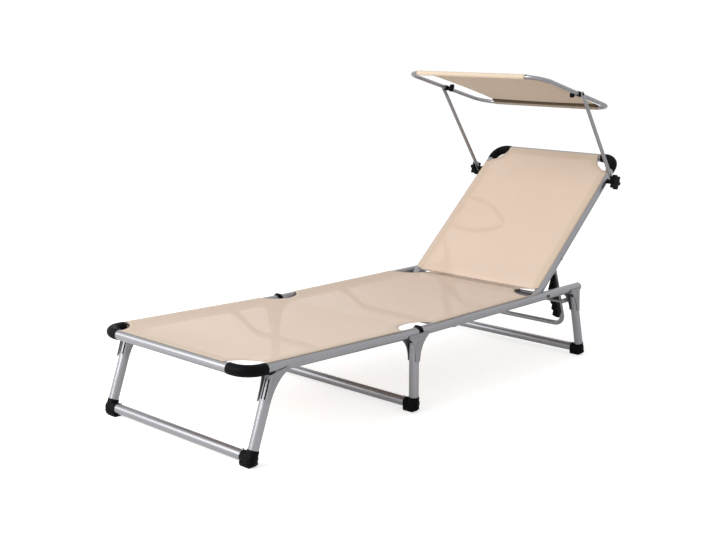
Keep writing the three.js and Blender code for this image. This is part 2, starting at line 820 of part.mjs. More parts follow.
// Clip round the canopy's side tube, with a flat boss towards the arm's eye
function canopyClip() {
  const bore = canopyRadius + fit;
  const half = clipLength / 2;
  const bossEnd = armX - eyeThickness / 2 - fit;
  const body = join(
    barY(-half, half, bore + clipWall, canopyX),
    barX(canopyX, bossEnd, clipBossRadius, 0, 0, boreFacets),
  );
  return cut(
    body,
    barY(-half - cutOverrun, half + cutOverrun, bore, canopyX),
    boreX(canopyX - tubeDiameter, canopyX + tubeDiameter, boltRadius + fit),
  );
}

// Wing knob inside the frame, with its bolt through the clip, the side tube and the arm's eye
function wingKnob() {
  const clipInner = canopyX - canopyRadius - fit - clipWall - fit;
  const neckEnd = clipInner - wingNeck;
  const eyeOuter = armX + eyeThickness / 2 + fit;
  const outline = lobeOutline(wingRadius, wingWaist, wingLobes, wingSteps);
  return join(
    plate(outline, neckEnd - wingThickness, wingThickness).rotateX(THREE.MathUtils.degToRad(wingTurn)),
    barX(neckEnd - sheetGauge, clipInner, wingNeckRadius),
    barX(neckEnd, eyeOuter + rivetHead, boltRadius),
    barX(eyeOuter, eyeOuter + rivetHead, boltRadius + rivetHead),
  );
}

// Canopy cloth: sleeves round the front and rear tubes, and free side edges that curve inwards
function canopyCloth() {
  const rows = [];
  const wrap = (endY, direction, step) => {
    const angle = direction * Math.PI * step / clothWrapSteps;
    return { at: endY, roll: angle, sag: 0, hem: 0 };
  };
  rows.push({ at: -canopyFront, roll: -Math.PI, sag: 0, hem: clothHem });
  for (let step = clothWrapSteps; step >= 0; step -= 1) {
    rows.push(wrap(-canopyFront, -1, step));
  }
  const free = canopyFront + canopyRear - 2 * clothHem;
  for (let step = 0; step <= clothRows; step += 1) {
    const share = step / clothRows;
    rows.push({ at: clothHem - canopyFront + free * share, roll: 0, sag: 4 * share * (1 - share), hem: 0 });
  }
  for (let step = 0; step <= clothWrapSteps; step += 1) {
    rows.push(wrap(canopyRear, 1, step));
  }
  rows.push({ at: canopyRear, roll: Math.PI, sag: 0, hem: -clothHem });
  const place = (column, row, layer) => {
    const radius = canopyRadius + fit + layer * clothThickness;
    const y = row.at + radius * Math.sin(row.roll) + row.hem;
    const middle = 1 - ((2 * row.at + canopyFront - canopyRear) / (canopyFront + canopyRear)) ** 2;
    const halfWidth = clothHalfWidth - (clothHalfWidth - clothWaist) * Math.max(0, middle);
    const z = radius * Math.cos(row.roll) - clothSag * row.sag;
    return [column * halfWidth, y, z];
  };
  const columns = [-1, 0, 1];
  return sheet(columns, rows, place);
}

// The whole lounger stands on the ground, centred on the origin
export const lounger = new THREE.Group();
const seatFrame = new THREE.Group();
seatFrame.position.set(0, 0, pivotHeight);
seatFrame.rotation.x = seatSlope;
lounger.add(seatFrame);

const footSection = new THREE.Group();
footSection.position.set(0, 0, pivotHeight);
footSection.rotation.x = footSlope;
lounger.add(footSection);

const railZ = -foldRise;
for (const [side, sideName] of sides) {
  add(seatFrame, `seat_rail_${sideName}`, onSide(seatRail(), side), tubeMetal);
  add(seatFrame, `fold_hinge_seat_${sideName}`, knuckle(1, false).translate(side * railX, 0, 0), blackPlastic);
}
add(seatFrame, 'backrest_axle', backrestAxle(), steelRod);
add(seatFrame, 'seat_brace', brace(bracePlace.seat), tubeMetal);
const [rodY, rodZ] = rodInSeat();
const rodEnd = railX - tubeRadius - 2 * fit;
add(seatFrame, 'rack_rod', barX(-rodEnd, rodEnd, rodDiameter / 2, rodY, rodZ), steelRod);
addBrackets(seatFrame, 'mid', legPlaces.mid, (place) => {
  const saddle = [midLegInset + foldGap + fit, saddleReach + foldGap];
  return bracket(place, midOuter, midInner, legPivotDrop, saddle);
});
addBrackets(seatFrame, 'rear', legPlaces.rear, (place) => {
  const y = rodY - place.y;
  const z = rodZ - place.z;
  const innerX = railX - tubeRadius - fit;
  const body = join(
    bracket(place, rearOuter, rearInner, legPivotDrop, [-tubeRadius, tubeRadius]),
    block(innerX - sheetGauge, innerX, y, 0, z - rodEarRadius, z + rodEarRadius),
    barX(innerX - sheetGauge, innerX, rodEarRadius, y, z),
  );
  return cut(body, boreX(0, railX, rodDiameter / 2 + fit, y, z));
});
const seatCuts = [{ y: 0, size: foldCut }, { y: hingeDistance, size: hingeCut }];
const seatTo = hingeDistance - slingHingeGap;
add(seatFrame, 'seat_sling', sling(railX, slingFoldGap, seatTo, false, false, railZ, seatCuts), mesh);
addLeg(seatFrame, 'mid', legPlaces.mid);
addLeg(seatFrame, 'rear', legPlaces.rear);

const footTubeEnd = railX - cornerReach + socketDepth - fit;
for (const [side, sideName] of sides) {
  const railStart = cornerReach - socketDepth + fit - footSectionLength;
  add(footSection, `foot_rail_${sideName}`, tubeY(railStart, -foldGap, side * railX, railZ), tubeMetal);
  const sleeve = cornerSleeve(railX, -footSectionLength, railZ, 1, cornerReach, cornerBend);
  add(footSection, `foot_corner_${sideName}`, onSide(sleeve, side), blackPlastic);
  const ears = knuckle(-1, true).translate(side * railX, 0, 0);
  add(footSection, `fold_hinge_foot_${sideName}`, ears, blackPlastic);
}
add(footSection, 'foot_end_tube', tubeX(-footTubeEnd, footTubeEnd, -footSectionLength, railZ), tubeMetal);
add(footSection, 'foot_brace', brace(bracePlace.foot), tubeMetal);
addBrackets(footSection, 'foot', legPlaces.foot, (place) => (
  bracket(place, footOuter, footInner, legPivotDrop - tubeRadius, [-tubeRadius, tubeRadius])
));
const footCuts = [{ y: 0, size: foldCut }, { y: -footSectionLength - slingCutBeyond, size: footCornerCut }];
const footSling = sling(railX, -footSectionLength, -slingFoldGap, true, false, railZ, footCuts);
add(footSection, 'foot_sling', footSling, mesh);
addLeg(footSection, 'foot', legPlaces.foot);

const backrest = new THREE.Group();
backrest.position.set(0, hingeDistance, railZ);
backrest.rotation.x = recline - seatSlope;
seatFrame.add(backrest);
for (const [side, sideName] of sides) {
  add(backrest, `backrest_rail_${sideName}`, onSide(backrestRail(), side), tubeMetal);
  const sleeve = cornerSleeve(backX, backrestLength, 0, -1, topCornerReach, topCornerBend);
  add(backrest, `backrest_corner_${sideName}`, onSide(sleeve, side), blackPlastic);
  const star = starKnob().translate(0, armPivot, 0);
  add(backrest, `star_knob_${sideName}`, onSide(star, side), blackPlastic);
}
const topTubeEnd = backX - topCornerReach + socketDepth - fit;
add(backrest, 'backrest_top_tube', tubeX(-topTubeEnd, topTubeEnd, backrestLength, 0), tubeMetal);
const backCuts = [{ y: 0, size: backCut }, { y: backrestLength + slingCutBeyond, size: topCornerCut }];
const backSling = sling(backX, slingHingeGap, backrestLength, false, true, 0, backCuts);
add(backrest, 'backrest_sling', backSling, mesh);
add(backrest, 'carry_strap', carryStrap(), webbing);

const support = new THREE.Group();
support.position.set(0, bowPivot, 0);
support.rotation.x = lean - recline;
backrest.add(support);
add(support, 'support_bow', supportBow(), tubeMetal);
for (const [side, sideName] of sides) {
  add(support, `rack_${sideName}`, onSide(rack(), side), blackPlastic);
}

const arms = new THREE.Group();
arms.position.set(0, armPivot, 0);
arms.rotation.x = THREE.MathUtils.degToRad(armAngle) - recline;
backrest.add(arms);
const canopy = new THREE.Group();
canopy.position.set(0, armLength, 0);
canopy.rotation.x = THREE.MathUtils.degToRad(canopySlope - armAngle);
arms.add(canopy);
for (const [side, sideName] of sides) {
  add(arms, `canopy_arm_${sideName}`, onSide(canopyArm(), side), tubeMetal);
  add(canopy, `canopy_clip_${sideName}`, onSide(canopyClip(), side), blackPlastic);
  add(canopy, `wing_knob_${sideName}`, onSide(wingKnob(), side), blackPlastic);
}
add(canopy, 'canopy_frame_front', canopyFrontHalf(), tubeMetal);
add(canopy, 'canopy_frame_rear', canopyRearHalf(), tubeMetal);
add(canopy, 'canopy_cloth', canopyCloth(), cloth);

lounger.updateMatrixWorld(true);
const extent = new THREE.Box3().setFromObject(lounger, true);
lounger.position.y = -(extent.min.y + extent.max.y) / 2;
lounger.position.z = -extent.min.z;

export default lounger;
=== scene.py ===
from math import atan2, cos, exp, hypot, pi, radians, sin, sqrt, tan

import bmesh
import bpy
from mathutils import Matrix, Vector


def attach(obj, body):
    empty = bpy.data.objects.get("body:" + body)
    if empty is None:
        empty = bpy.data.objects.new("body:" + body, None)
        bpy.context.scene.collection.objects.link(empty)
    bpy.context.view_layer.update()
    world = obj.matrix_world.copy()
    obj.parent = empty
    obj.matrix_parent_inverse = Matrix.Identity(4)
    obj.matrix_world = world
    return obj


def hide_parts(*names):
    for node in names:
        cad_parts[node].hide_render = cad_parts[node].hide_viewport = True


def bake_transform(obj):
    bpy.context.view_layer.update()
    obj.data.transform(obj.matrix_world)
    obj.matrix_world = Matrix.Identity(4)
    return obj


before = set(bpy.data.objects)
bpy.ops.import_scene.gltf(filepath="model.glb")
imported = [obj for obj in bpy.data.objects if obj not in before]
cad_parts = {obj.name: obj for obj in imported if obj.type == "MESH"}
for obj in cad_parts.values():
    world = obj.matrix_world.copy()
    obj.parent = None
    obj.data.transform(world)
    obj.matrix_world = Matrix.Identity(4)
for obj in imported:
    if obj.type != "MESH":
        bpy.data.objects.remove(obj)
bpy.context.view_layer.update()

# Camera: a normal lens a little above the bed, looking from the foot end's left-hand side
# across to the head, with the slight roll of the photograph.
camera_heading, camera_dip, camera_roll = 41.28, 10.81, 1.7
camera_data = bpy.data.cameras.new("camera")
camera_data.lens = 55.05
camera_data.sensor_width = 36
camera = bpy.data.objects.new("camera", camera_data)
bpy.context.scene.collection.objects.link(camera)
camera.matrix_world = (
    Matrix.Translation((2.12131, -2.599825, 0.9742))
    @ Matrix.Rotation(radians(camera_heading), 4, "Z")
    @ Matrix.Rotation(radians(90 - camera_dip), 4, "X")
    @ Matrix.Rotation(radians(camera_roll), 4, "Z")
)
bpy.context.scene.camera = camera
bpy.context.scene.view_settings.view_transform = "Standard"

# Ground and light: a plain pale floor that runs out to a white horizon, and an even pale sky. A
# very large soft lamp hangs low before the foot end, so that it also lights the backrest below
# the canopy, and a weaker one stands on the far side of the foot end.
ground_half = 60
ground_tone = 0.78
ground_glow, ground_mirrored = 0.62, 0.45
sky_strength = 0.57


class Signal:
    """A value on its way through a finish. Sums and comparisons of signals add Math nodes."""

    def __init__(self, finish, socket):
        self.finish = finish
        self.socket = socket

    def __add__(self, other):
        return self.finish.maths("ADD", self, other)

    def __radd__(self, other):
        return self.finish.maths("ADD", other, self)

    def __sub__(self, other):
        return self.finish.maths("SUBTRACT", self, other)

    def __rsub__(self, other):
        return self.finish.maths("SUBTRACT", other, self)

    def __mul__(self, other):
        return self.finish.maths("MULTIPLY", self, other)

    def __rmul__(self, other):
        return self.finish.maths("MULTIPLY", other, self)

    def __lt__(self, other):
        return self.finish.maths("LESS_THAN", self, other)

    def __gt__(self, other):
        return self.finish.maths("GREATER_THAN", self, other)


class Finish:
    """A material and its shader, whose sockets take a number, a colour or a signal."""

    def __init__(self, name, **constants):
        self.material = bpy.data.materials.new(name)
        self.material.use_nodes = True
        self.tree = self.material.node_tree
        self.shader = self.tree.nodes["Principled BSDF"]
        for socket, value in constants.items():
            self.shader.inputs[socket.replace("_", " ")].default_value = value

    def add(self, kind, settings=None, inputs=None, output=0):
        node = self.tree.nodes.new(kind)
        for name, value in (settings or {}).items():
            setattr(node, name, value)
        for socket, value in (inputs or {}).items():
            self.feed(node.inputs[socket], value)
        return Signal(self, node.outputs[output])

    def feed(self, socket, value):
        if isinstance(value, Signal):
            self.tree.links.new(value.socket, socket)
        else:
            socket.default_value = value

    def put(self, socket, value):
        self.feed(self.shader.inputs[socket], value)

    def maths(self, operation, *values):
        return self.add("ShaderNodeMath", {"operation": operation}, dict(enumerate(values)))

    def ray(self, kind):
        return self.add("ShaderNodeLightPath", output=f"Is {kind} Ray")

    def mark(self, name):
        return self.add("ShaderNodeAttribute", {"attribute_name": name}, output="Fac")

    def noise(self, scale, detail, stretch=(1, 1, 1)):
        place = self.add("ShaderNodeTexCoord", output="Object")
        spot = self.add("ShaderNodeMapping", inputs={"Vector": place, "Scale": stretch})
        inputs = {"Vector": spot, "Scale": scale, "Detail": detail, "Roughness": 0.55}
        return self.add("ShaderNodeTexNoise", {}, inputs, "Fac")

    def blend(self, amount, first, second):
        first = (*first, 1) if isinstance(first, tuple) else first
        inputs = {"Factor": amount, 6: first, 7: (*second, 1)}
        return self.add("ShaderNodeMix", {"data_type": "RGBA"}, inputs, 2)

    def relief(self, height, strength, depth):
        inputs = {"Height": height, "Strength": strength, "Distance": depth}
        self.put("Normal", self.add("ShaderNodeBump", {}, inputs, "Normal"))


ground_mesh = bpy.data.meshes.new("ground")
ground_form = bmesh.new()
bmesh.ops.create_grid(ground_form, x_segments=1, y_segments=1, size=ground_half)
ground_form.to_mesh(ground_mesh)
ground_form.free()
ground = bpy.data.objects.new("ground", ground_mesh)
bpy.context.scene.collection.objects.link(ground)

ground_white = Finish("ground_white", Roughness=0.9, Specular_IOR_Level=0)
ground_white.put("Base Color", (ground_tone, ground_tone, ground_tone, 1))
dim = ground_white.blend(ground_white.ray("Glossy"), (0, 0, 0), (ground_mirrored,) * 3)
seen = ground_white.ray("Camera") + ground_white.ray("Transmission")
ground_white.put("Emission Color", ground_white.blend(seen, dim, (1, 1, 1)))
ground_white.put("Emission Strength", ground_glow)
ground.data.materials.append(ground_white.material)

sky = bpy.data.worlds.new("sky")
bpy.context.scene.world = sky
sky.use_nodes = True
sky_nodes = sky.node_tree.nodes
sky_links = sky.node_tree.links
soft = sky_nodes["Background"]
soft.inputs["Color"].default_value = (1, 1, 1, 1)
soft.inputs["Strength"].default_value = sky_strength
plain = sky_nodes.new("ShaderNodeBackground")
plain.inputs["Color"].default_value = (1, 1, 1, 1)
plain.inputs["Strength"].default_value = 1.0
rays = sky_nodes.new("ShaderNodeLightPath")
either = sky_nodes.new("ShaderNodeMath")
either.operation = "MAXIMUM"
any_seen = sky_nodes.new("ShaderNodeMath")
any_seen.operation = "MAXIMUM"
choose = sky_nodes.new("ShaderNodeMixShader")
sky_links.new(rays.outputs["Is Camera Ray"], either.inputs[0])
sky_links.new(rays.outputs["Is Glossy Ray"], either.inputs[1])
sky_links.new(either.outputs[0], any_seen.inputs[0])
sky_links.new(rays.outputs["Is Transmission Ray"], any_seen.inputs[1])
sky_links.new(any_seen.outputs[0], choose.inputs["Fac"])
sky_links.new(soft.outputs[0], choose.inputs[1])
sky_links.new(plain.outputs[0], choose.inputs[2])
sky_links.new(choose.outputs[0], sky_nodes["World Output"].inputs["Surface"])


def hang_lamp(name, spot, target, size, power):
    lamp = bpy.data.lights.new(name, "AREA")
    lamp.shape = "DISK"
    lamp.size = size
    lamp.energy = power
    held = bpy.data.objects.new(name, lamp)
    bpy.context.scene.collection.objects.link(held)
    aim = (Vector(target) - Vector(spot)).to_track_quat("-Z", "Y")
    held.matrix_world = Matrix.Translation(spot) @ aim.to_matrix().to_4x4()


hang_lamp("main_lamp", (-1.0, -4.2, 2.7), (0, 0.1, 0.3), size=3.6, power=204)
hang_lamp("foot_lamp", (-3.5, -3.5, 1.9), (0, -0.3, 0.3), size=2.2, power=27)

# Rails of the seat frame and the foot section: 28 mm round aluminium tube with a satin silver
# finish, drawn straight. The seat's rails end in a pressed cap at the head end, and the end tube
# joins the foot section's rails.
tube_radius = 0.014
rail_x = 0.28
rail_drop = 0.015
rail_start = 0.010
seat_length, seat_rise = 0.8735, 0.0135
foot_length, foot_fall = 0.651, 0.0077
foot_rail_end = 0.604
end_tube_half = 0.2327
rail_cap = ((0.0012, 0.985), (0.0008, 1.01), (0.0022, 0.93), (0.0016, 0.78), (0.0004, 0.4))
fold_line = Vector((0, -0.240315, 0.2471))
seat_slope = atan2(seat_rise, seat_length)
foot_slope = -atan2(foot_fall, foot_length)
seat_place = Matrix.Translation(fold_line) @ Matrix.Rotation(seat_slope, 4, "X")
foot_place = Matrix.Translation(fold_line) @ Matrix.Rotation(foot_slope, 4, "X")
hands = ((1, "left"), (-1, "right"))

satin_silver = Finish("satin_silver_tube", Metallic=0.92)
drawn = satin_silver.noise(220, 3, stretch=(1, 0.05, 1))
cloud = satin_silver.noise(9, 2)
silver_tone = satin_silver.blend(cloud, (0.295, 0.295, 0.315), (0.345, 0.345, 0.365))
satin_silver.put("Base Color", silver_tone)
satin_silver.put("Roughness", 0.29 + drawn * 0.07)
satin_silver.relief(drawn, 0.05, 0.0002)


class TubeRun:
    """A round tube made as a bender makes it: a cut end, straight pushes and bends."""

    def __init__(self, start, heading, radius, facets=40):
        self.form = bmesh.new()
        self.centre = Vector(start)
        self.heading = Vector(heading).normalized()
        turn = self.heading.to_track_quat("Z", "Y").to_matrix().to_4x4()
        place = Matrix.Translation(self.centre) @ turn
        bmesh.ops.create_circle(self.form, cap_ends=False, radius=radius, segments=facets,
                                matrix=place)
        self.rim = list(self.form.edges)
        self.first = list(self.rim)

    def push(self, length, swell=1.0):
        made = bmesh.ops.extrude_edge_only(self.form, edges=self.rim)["geom"]
        fresh = [part for part in made if isinstance(part, bmesh.types.BMVert)]
        bmesh.ops.translate(self.form, verts=fresh, vec=self.heading * length)
        self.centre = self.centre + self.heading * length
        if swell != 1.0:
            about = Matrix.Translation(-self.centre)
            bmesh.ops.scale(self.form, verts=fresh, vec=(swell, swell, swell), space=about)
        edges = [part for part in made if isinstance(part, bmesh.types.BMEdge)]
        self.rim = [edge for edge in edges if all(corner in fresh for corner in edge.verts)]
        return self

    def bend(self, angle, axis, radius, steps):
        axis = Vector(axis).normalized()
        middle = self.centre + axis.cross(self.heading) * radius
        made = bmesh.ops.spin(self.form, geom=self.rim, cent=middle, axis=axis, angle=angle,
                              steps=steps, dvec=(0, 0, 0))
        turn = Matrix.Rotation(angle, 3, axis)
        self.centre = middle + turn @ (self.centre - middle)
        self.heading = turn @ self.heading
        self.rim = [part for part in made["geom_last"] if isinstance(part, bmesh.types.BMEdge)]
        return self

    def close(self):
        bmesh.ops.edgeloop_fill(self.form, edges=self.first)
        bmesh.ops.edgeloop_fill(self.form, edges=self.rim)
        return self.form


def set_piece(form, name, place, finish, body, nodes=(), side=1, recalc=True):
    """Puts a piece in its place on the lounger, on the body that carries it."""
    turn = place @ Matrix.Scale(side, 4, (1, 0, 0))
    bmesh.ops.transform(form, matrix=turn, verts=form.verts)
    if recalc:
        bmesh.ops.recalc_face_normals(form, faces=form.faces)
    mesh = bpy.data.meshes.new(name)
    form.to_mesh(mesh)
    form.free()
    for face in mesh.polygons:
        face.use_smooth = True
    mesh.set_sharp_from_angle(angle=radians(34))
    piece = bpy.data.objects.new(name, mesh)
    bpy.context.scene.collection.objects.link(piece)
    piece.data.materials.append(finish.material)
    if body:
        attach(piece, body)
    if nodes:
        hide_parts(*nodes)
    return piece


for side, hand in hands:
    rail = TubeRun((rail_x, rail_start, -rail_drop), (0, 1, 0), tube_radius)
    rail.push(seat_length - rail_start - sum(step for step, swell in rail_cap))
    for step, swell in rail_cap:
        rail.push(step, swell)
    set_piece(rail.close(), f"rail_of_seat_{hand}", seat_place, satin_silver, "seat_frame",
              [f"seat_rail_{hand}"], side)
    rail = TubeRun((rail_x, -foot_rail_end, -rail_drop), (0, 1, 0), tube_radius)
    rail.push(foot_rail_end - rail_start)
    set_piece(rail.close(), f"rail_of_foot_section_{hand}", foot_place, satin_silver,
              "foot_section", [f"foot_rail_{hand}"], side)
end_tube = TubeRun((-end_tube_half, -foot_length, -rail_drop), (1, 0, 0), tube_radius)
set_piece(end_tube.push(2 * end_tube_half).close(), "end_tube_of_foot_section", foot_place,
          satin_silver, "foot_section", ["foot_end_tube"])

# Rail rivets: small aluminium rivets with round heads, set through the rails' outer faces where
# the braces and the foot end's brackets are fixed inside.
rivet_radius, rivet_flatness, rivet_sink = 0.0042, 0.42, 0.0003
rail_rivets = ((-0.201, foot_place, "foot_section"), (-0.382, foot_place, "foot_section"),
               (-0.524, foot_place, "foot_section"), (0.300, seat_place, "seat_frame"))
for y, place, body in rail_rivets:
    for side, hand in hands:
        head = bmesh.new()
        bmesh.ops.create_uvsphere(head, u_segments=16, v_segments=8, radius=rivet_radius)
        bmesh.ops.scale(head, vec=(rivet_flatness, 1, 1), verts=head.verts)
        spot = Matrix.Translation((rail_x + tube_radius - rivet_sink, y, -rail_drop))
        set_piece(head, f"rail_rivet_{hand}_{round(-y * 1000) % 1000}",
                  place @ Matrix.Scale(side, 4, (1, 0, 0)) @ spot, satin_silver, body)

# Corner sleeves: plain bent tubes of black plastic, pushed over the ends of the rails and the
# end tube, with their mouths' edges rounded.
mouth_radius = 0.01475
mouth_steps = ((0.0003, 1.025), (0.0006, 1.010))
sleeve_shift = 0.0001
foot_corner_reach, foot_corner_bend = 0.062, 0.048

moulded_black = Finish("moulded_black_plastic", Metallic=0.0, Specular_IOR_Level=0.05)
grain = moulded_black.noise(900, 2)
scuff = moulded_black.noise(34, 3)
black_tone = moulded_black.blend(scuff, (0.0025, 0.0027, 0.0032), (0.005, 0.0052, 0.006))
moulded_black.put("Base Color", black_tone)
moulded_black.put("Roughness", 0.40 + scuff * 0.14)
moulded_black.relief(grain, 0.25, 0.0003)


def corner_sleeve(x, y, direction, reach, bend):
    """A sleeve round a corner, from its mouth on the cross tube to its mouth on the rail."""
    arm = reach - bend - sum(step for step, swell in mouth_steps)
    sleeve = TubeRun((x - reach - sleeve_shift, y, 0), (1, 0, 0), mouth_radius)
    for step, swell in mouth_steps:
        sleeve.push(step, swell)
    sleeve.push(arm).bend(direction * pi / 2, (0, 0, 1), direction * bend, 14).push(arm)
    for step, swell in reversed(mouth_steps):
        sleeve.push(step, 1 / swell)
    return sleeve.close()


for side, hand in hands:
    set_piece(corner_sleeve(rail_x, -foot_length, 1, foot_corner_reach, foot_corner_bend),
              f"corner_of_foot_section_{hand}", foot_place @ Matrix.Translation((0, 0, -rail_drop)),
              moulded_black, "foot_section", [f"foot_corner_{hand}"], side)

# Fold hinges: black plastic plugs in the rail ends, with ears that meet on a steel pin just
# above the rails, so that the foot section folds up over the seat.
knuckle_edge = 0.0004


def eased_copy(node, edge_width, segments):
    """A copy of a hard solid with its sharp edges rounded over."""
    form = bmesh.new()
    form.from_mesh(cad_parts[node].data)
    bmesh.ops.remove_doubles(form, verts=form.verts, dist=0.00002)
    bmesh.ops.dissolve_limit(form, angle_limit=radians(1.5), verts=form.verts, edges=form.edges)
    sharp = [
        edge for edge in form.edges
        if len(edge.link_faces) == 2 and edge.calc_face_angle() > radians(28)
    ]
    bmesh.ops.bevel(form, geom=sharp, offset=edge_width, offset_type="OFFSET", segments=segments,
                    profile=0.5, affect="EDGES", clamp_overlap=True, material=-1)
    return form


def set_copy(node, name, edge_width, finish, body, segments=2):
    set_piece(eased_copy(node, edge_width, segments), name, Matrix.Identity(4), finish, body,
              [node], recalc=False)


for side, hand in hands:
    set_copy(f"fold_hinge_seat_{hand}", f"fold_knuckle_of_seat_{hand}", knuckle_edge, moulded_black,
             "seat_frame")
    set_copy(f"fold_hinge_foot_{hand}", f"fold_knuckle_of_foot_section_{hand}", knuckle_edge,
             moulded_black, "foot_section")

# Braces: 16 mm aluminium tubes across the frame, bowed down so that the mesh can give above them,
# their ends riveted to the rails' inner sides.
brace_radius, brace_bend = 0.008, 0.070
brace_end, brace_shoulder, brace_foot = 0.2657, 0.2447, 0.1607
brace_high, brace_low = -rail_drop - 0.008, -rail_drop - 0.052
foot_brace_y, seat_brace_y = -0.207, 0.277


def brace_tube(y):
    fall = brace_high - brace_low
    slope = atan2(fall, brace_shoulder - brace_foot)
    trim = brace_bend * tan(slope / 2)
    sloped = hypot(brace_shoulder - brace_foot, fall) - 2 * trim
    level = brace_end - brace_shoulder - trim
    tube = TubeRun((-brace_end, y, brace_high), (1, 0, 0), brace_radius, 24)
    tube.push(level).bend(slope, (0, 1, 0), brace_bend, 7).push(sloped)
    tube.bend(-slope, (0, 1, 0), -brace_bend, 7).push(2 * (brace_foot - trim))
    tube.bend(-slope, (0, 1, 0), -brace_bend, 7).push(sloped)
    return tube.bend(slope, (0, 1, 0), brace_bend, 7).push(level).close()


set_piece(brace_tube(foot_brace_y), "brace_under_foot_section", foot_place, satin_silver,
          "foot_section", ["foot_brace"])
set_piece(brace_tube(seat_brace_y), "brace_under_seat", seat_place, satin_silver, "seat_frame",
          ["seat_brace"])

# Leg brackets: zinc-plated sheet folded over the rails' sides, each cheek narrow at its foot and
# flared at the rail, with a round-headed rivet as the pivot of the leg.
sheet_edge = 0.0005
plated_sheet = Finish("plated_sheet", Metallic=0.86)
spangle = plated_sheet.noise(60, 3)
plated_tone = plated_sheet.blend(spangle, (0.25, 0.25, 0.268), (0.32, 0.32, 0.338))
plated_sheet.put("Base Color", plated_tone)
plated_sheet.put("Roughness", 0.36 + spangle * 0.12)
plated_sheet.relief(plated_sheet.noise(420, 2), 0.10, 0.0002)
bracket_pairs = (("foot", "foot", "foot_section"), ("mid", "middle", "seat_frame"),
                 ("rear", "head", "seat_frame"))
for side, hand in hands:
    for node, legs, body in bracket_pairs:
        set_copy(f"{node}_bracket_{hand}", f"bracket_of_{legs}_legs_{hand}", sheet_edge,
                 plated_sheet, body)

# Channels of the foot end's brackets: pressed sheet bent round the front of each leg's top between
# the cheeks. Three thin black strips laid on its face are painted shade. They stand for the dark of
# long slots in it, and the slots themselves are not cut.
bar_height = 0.0227
pivot_drop = 0.032
foot_leg_y, foot_leg_splay = -0.5725, -0.0595
channel_radius, channel_gauge, channel_spread = 0.0152, 0.0011, 60
channel_top, channel_bottom = 0.012, -0.053
slot_shade_radius, slot_shade_gauge, slot_shade_spread = 0.0158, 0.0009, 6
slot_shade_top, slot_shade_bottom = 0.004, -0.047
slot_shade_angles = (-30, 4, 34)


def leg_frame_place(section, y, splay):
    """A leg frame's place at its pivot, leaning by its splay, and its length to the crossbar."""
    pivot = section @ Vector((0, y, -rail_drop - pivot_drop))
    drop = pivot.z - bar_height
    place = Matrix.Translation(pivot) @ Matrix.Rotation(atan2(splay, drop), 4, "X")
    return place, hypot(splay, drop)


def bent_strip(radius, from_angle, to_angle, top, bottom, gauge):
    """A strip bent round the leg's front, between two angles from the front and two heights."""
    form = bmesh.new()
    bmesh.ops.create_grid(form, x_segments=20, y_segments=8, size=0.5)
    for vert in form.verts:
        angle = radians(from_angle + (to_angle - from_angle) * (vert.co.x + 0.5))
        height = bottom + (top - bottom) * (vert.co.y + 0.5)
        vert.co = Vector((rail_x + radius * sin(angle), -radius * cos(angle), height))
    result = bmesh.ops.extrude_face_region(form, geom=list(form.faces))
    for vert in [item for item in result["geom"] if isinstance(item, bmesh.types.BMVert)]:
        outward = Vector((vert.co.x - rail_x, vert.co.y, 0)).normalized()
        vert.co += outward * gauge
    return form


channel_place, _ = leg_frame_place(foot_place, foot_leg_y, foot_leg_splay)
for side, hand in hands:
    channel = bent_strip(channel_radius, -channel_spread, channel_spread, channel_top,
                         channel_bottom, channel_gauge)
    set_piece(channel, f"channel_of_foot_bracket_{hand}", channel_place, plated_sheet,
              "foot_section", (), side)
    # Painted shade: thin strips in the black plastic finish, laid where the slots' shade falls.
    for number, middle in enumerate(slot_shade_angles):
        strip = bent_strip(slot_shade_radius, middle - slot_shade_spread, middle + slot_shade_spread, slot_shade_top,
                           slot_shade_bottom, slot_shade_gauge)
        set_piece(strip, f"strip_{number + 1}_of_foot_bracket_{hand}", channel_place, moulded_black,
                  "foot_section", (), side)

# Leg frames: two 28 mm tubes and a crossbar pushed into black plastic feet, which stand flat
# on the ground, with a plated spring catch where the crossbar goes into each foot.
leg_top, leg_gap = 0.005, 0.003
shoe_edge = 0.0016
catch_x, catch_radius = 0.2455, 0.0035
bar_half = 0.263
leg_frames = (
    ("foot", "foot_legs", foot_place, foot_leg_y, foot_leg_splay),
    ("mid", "mid_legs", seat_place, -0.015, 0.0091),
    ("rear", "rear_legs", seat_place, 0.8455, 0.0614),
)
for name, body, section, y, splay in leg_frames:
    place, length = leg_frame_place(section, y, splay)
    for side, hand in hands:
        leg = TubeRun((rail_x, 0, leg_top), (0, 0, -1), tube_radius)
        leg.push(length + leg_top - leg_gap)
        set_piece(leg.close(), f"{name}_leg_tube_{hand}", place, satin_silver, body,
                  [f"{name}_leg_{hand}"], side)
        set_copy(f"{name}_foot_{hand}", f"{name}_leg_shoe_{hand}", shoe_edge, moulded_black, body,
                 3)
        catch = bmesh.new()
        bmesh.ops.create_uvsphere(catch, u_segments=14, v_segments=8, radius=catch_radius)
        spot = Matrix.Translation((catch_x, 0, tube_radius - length))
        bmesh.ops.transform(catch, matrix=spot, verts=catch.verts)
        set_piece(catch, f"{name}_crossbar_catch_{hand}", place, plated_sheet, body,
                  (), side)
    bar = TubeRun((-bar_half, 0, -length), (1, 0, 0), tube_radius).push(2 * bar_half)
    set_piece(bar.close(), f"{name}_leg_crossbar", place, satin_silver, body,
              [f"{name}_crossbar"])

